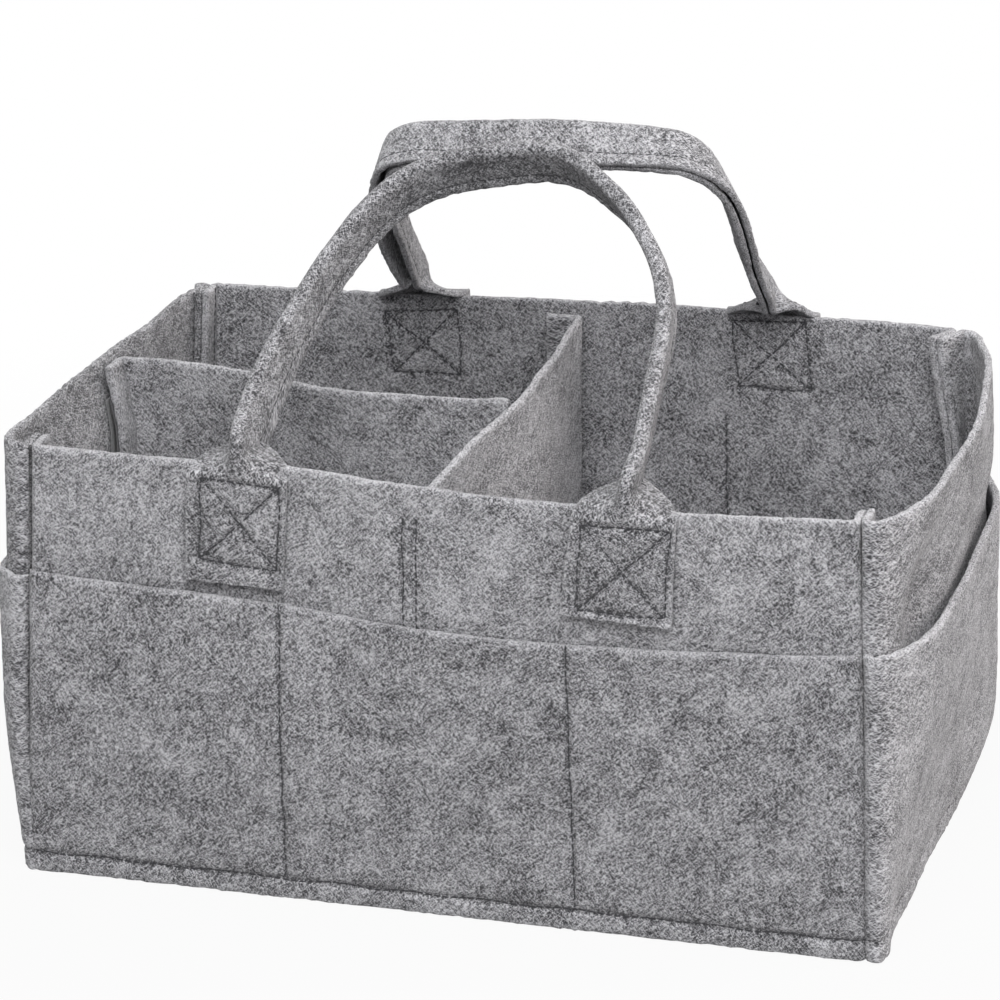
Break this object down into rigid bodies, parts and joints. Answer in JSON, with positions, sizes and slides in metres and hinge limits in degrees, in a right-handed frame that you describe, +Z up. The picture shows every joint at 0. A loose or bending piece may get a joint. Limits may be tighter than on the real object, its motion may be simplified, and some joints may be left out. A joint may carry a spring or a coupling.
{
  "type": "diaper caddy",
  "caption": "Open-top felt caddy with outer pockets on every side, folded felt strap handles that swing at the rim, and lift-out dividers held by hook-and-loop tape.",
  "frame": {"origin": "on the floor, under the middle of the caddy", "axes": "+X along the length to the right, +Y from the front to the back, +Z up"},
  "size_m": [0.385, 0.2406, 0.2837],
  "materials": {
    "felt": "matt melange felt with fuzzy cut edges",
    "thread": "dull spun sewing thread",
    "tape": "hook-and-loop tape"
  },
  "bodies": {
    "root": {"base_panel": "felt", "base_stitch": "thread", "front_wall": "felt", "back_wall": "felt", "left_wall": "felt", "right_wall": "felt", "front_pocket": "felt", "back_pocket": "felt", "left_pocket": "felt", "right_pocket": "felt", "front_left_pocket_stitch": "thread", "front_right_pocket_stitch": "thread", "back_left_pocket_stitch": "thread", "back_right_pocket_stitch": "thread", "front_left_corner_stitch": "thread", "front_right_corner_stitch": "thread", "back_left_corner_stitch": "thread", "back_right_corner_stitch": "thread", "front_left_tab": "felt", "front_right_tab": "felt", "back_left_tab": "felt", "back_right_tab": "felt", "front_left_box_stitch": "thread", "front_right_box_stitch": "thread", "back_left_box_stitch": "thread", "back_right_box_stitch": "thread", "front_wall_tape_stitch": "thread", "back_wall_tape_stitch": "thread", "front_wall_loop_tape": "tape", "back_wall_loop_tape": "tape", "left_wall_loop_tape": "tape"},
    "front_handle": {"front_handle": "felt", "front_handle_stitch": "thread"},
    "back_handle": {"back_handle": "felt", "back_handle_stitch": "thread"},
    "cross_divider": {"cross_divider": "felt", "cross_divider_front_hook_tape": "tape", "cross_divider_back_hook_tape": "tape", "cross_divider_loop_tape": "tape"},
    "long_divider": {"long_divider": "felt", "long_divider_left_hook_tape": "tape", "long_divider_right_hook_tape": "tape"}
  },
  "joints": [
    {"name": "front_handle_swing", "type": "hinge", "parent": "root", "child": "front_handle", "pos_m": [-0.0035, -0.1146, 0.1806], "axis": [1, 0, 0], "range_deg": [0, 216]},
    {"name": "back_handle_swing", "type": "hinge", "parent": "root", "child": "back_handle", "pos_m": [0.0085, 0.1146, 0.1806], "axis": [-1, 0, 0], "range_deg": [0, 205]},
    {"name": "cross_divider_lift", "type": "slide", "parent": "root", "child": "cross_divider", "axis": [0, 0, 1], "range_m": [0, 0.07]},
    {"name": "long_divider_lift", "type": "slide", "parent": "root", "child": "long_divider", "axis": [0, 0, 1], "range_m": [0, 0.07]}
  ]
}
